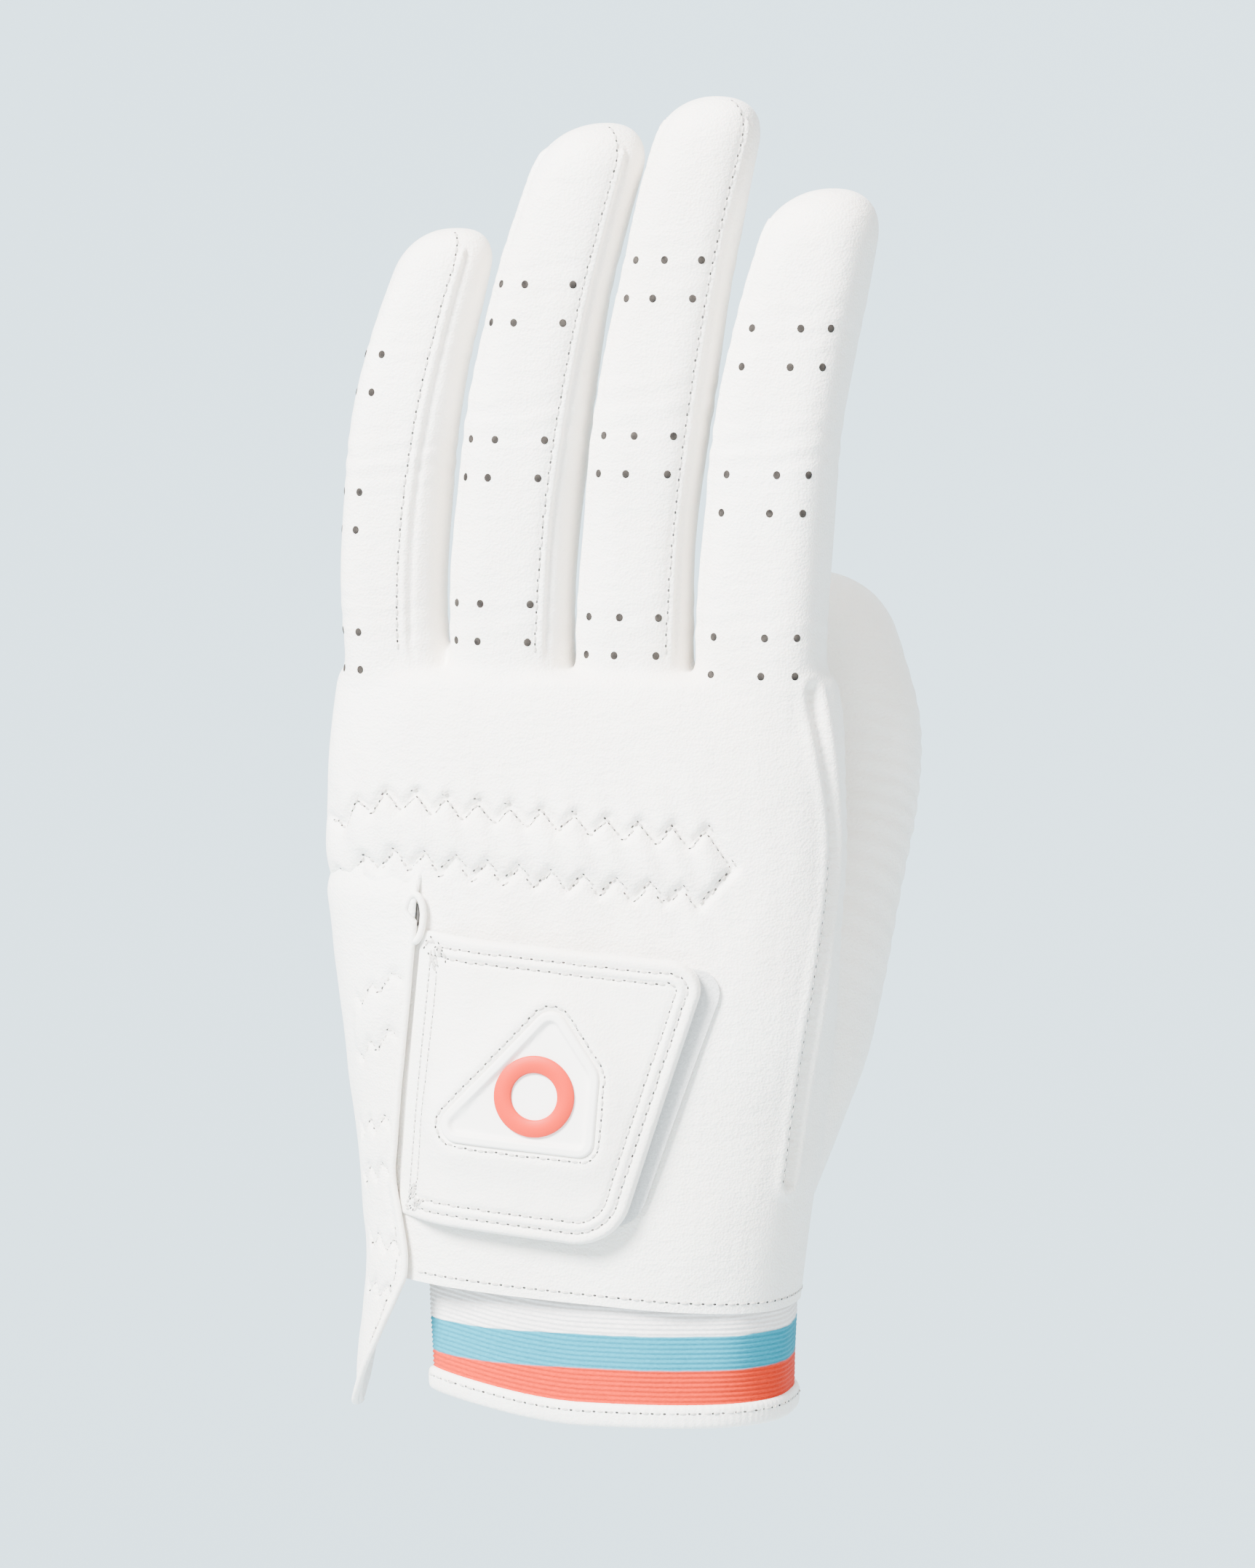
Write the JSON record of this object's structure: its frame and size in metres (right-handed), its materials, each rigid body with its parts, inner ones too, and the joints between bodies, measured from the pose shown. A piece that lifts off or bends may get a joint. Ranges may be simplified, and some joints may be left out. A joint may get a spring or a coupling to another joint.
{
  "type": "golf glove",
  "caption": "Left-hand golf glove in soft white leather, with finger seams, a striped elastic cuff and a hook-and-loop closure tab that peels open.",
  "frame": {"origin": "centre of the wrist opening, at the lower edge of the cuff binding", "axes": "+Z from the wrist to the fingertips, -Y out of the back of the hand, +X towards the thumb side"},
  "size_m": [0.1002, 0.0663, 0.2301],
  "materials": {
    "leather": "soft matte",
    "lining": "matte",
    "elastic": "ribbed",
    "hook_and_loop": "napped",
    "rubber": "satin",
    "coral": "satin"
  },
  "bodies": {
    "hand": {"back_panel": "leather", "little_side_panel": "leather", "palm_panel": "leather", "index_side_panel": "leather", "thumb_base_panel": "leather", "thumb_fold": "leather", "cuff_elastic": "elastic", "cuff_binding": "leather", "knuckle_elastic": "lining", "wrist_elastic": "lining", "slit_binding": "leather", "loop_patch": "hook_and_loop", "little_knuckle_fold": "leather", "ring_knuckle_fold": "leather", "middle_knuckle_fold": "leather", "index_knuckle_fold": "leather"},
    "little_lower": {"little_lower_wrap": "leather", "little_lower_fourchette": "leather", "little_middle_fold": "leather"},
    "little_upper": {"little_upper_wrap": "leather", "little_upper_fourchette": "leather", "little_tip": "leather"},
    "ring_lower": {"ring_lower_palm": "leather", "ring_lower_back": "leather", "ring_lower_fourchette_thumbward": "leather", "ring_lower_fourchette_outward": "leather", "ring_middle_fold": "leather"},
    "ring_upper": {"ring_upper_palm": "leather", "ring_upper_back": "leather", "ring_upper_fourchette_thumbward": "leather", "ring_upper_fourchette_outward": "leather", "ring_tip": "leather"},
    "middle_lower": {"middle_lower_palm": "leather", "middle_lower_back": "leather", "middle_lower_fourchette_thumbward": "leather", "middle_lower_fourchette_outward": "leather", "middle_middle_fold": "leather"},
    "middle_upper": {"middle_upper_palm": "leather", "middle_upper_back": "leather", "middle_upper_fourchette_thumbward": "leather", "middle_upper_fourchette_outward": "leather", "middle_tip": "leather"},
    "index_lower": {"index_lower_wrap": "leather", "index_lower_fourchette": "leather", "index_middle_fold": "leather"},
    "index_upper": {"index_upper_wrap": "leather", "index_upper_fourchette": "leather", "index_tip": "leather"},
    "thumb": {"thumb_tube": "leather", "thumb_tip": "leather"},
    "tab": {"tab_outer": "leather", "tab_lining": "lining", "tab_binding": "leather", "hook_patch": "hook_and_loop", "badge_base": "rubber", "badge_mark": "coral"}
  },
  "joints": [
    {"name": "little_knuckle", "type": "hinge", "parent": "hand", "child": "little_lower", "pos_m": [-0.0375, 0, 0.136], "axis": [-1, 0, 0], "range_deg": [-10, 75], "deforming": ["little_knuckle_fold"]},
    {"name": "little_middle", "type": "hinge", "parent": "little_lower", "child": "little_upper", "pos_m": [-0.03677, 0.00099, 0.168], "axis": [-1, 0, 0], "range_deg": [0, 75], "deforming": ["little_middle_fold"]},
    {"name": "ring_knuckle", "type": "hinge", "parent": "hand", "child": "ring_lower", "pos_m": [-0.0162, 0, 0.136], "axis": [-1, 0, 0], "range_deg": [-10, 75], "deforming": ["ring_knuckle_fold"]},
    {"name": "ring_middle", "type": "hinge", "parent": "ring_lower", "child": "ring_upper", "pos_m": [-0.01267, 0.00104, 0.177], "axis": [-1, 0, 0], "range_deg": [0, 75], "deforming": ["ring_middle_fold"]},
    {"name": "middle_knuckle", "type": "hinge", "parent": "hand", "child": "middle_lower", "pos_m": [0.006, 0, 0.136], "axis": [-1, 0, 0], "range_deg": [-10, 75], "deforming": ["middle_knuckle_fold"]},
    {"name": "middle_middle", "type": "hinge", "parent": "middle_lower", "child": "middle_upper", "pos_m": [0.00953, 0.00103, 0.179], "axis": [-1, 0, 0], "range_deg": [0, 75], "deforming": ["middle_middle_fold"]},
    {"name": "index_knuckle", "type": "hinge", "parent": "hand", "child": "index_lower", "pos_m": [0.0286, 0, 0.136], "axis": [-1, 0, 0], "range_deg": [-10, 40], "deforming": ["index_knuckle_fold"]},
    {"name": "index_middle", "type": "hinge", "parent": "index_lower", "child": "index_upper", "pos_m": [0.03148, 0.00111, 0.173], "axis": [-1, 0, 0], "range_deg": [0, 75], "deforming": ["index_middle_fold"]},
    {"name": "thumb_swing", "type": "hinge", "parent": "hand", "child": "thumb", "pos_m": [0.03772, 0.02599, 0.0995], "axis": [0, 1, 0], "range_deg": [-5, 30], "deforming": ["thumb_fold"]},
    {"name": "tab_peel", "type": "hinge", "parent": "hand", "child": "tab", "pos_m": [-0.0309, -0.01738, 0.06054], "axis": [-0.0858, -0.0216, -0.9961], "range_deg": [0, 115]}
  ]
}
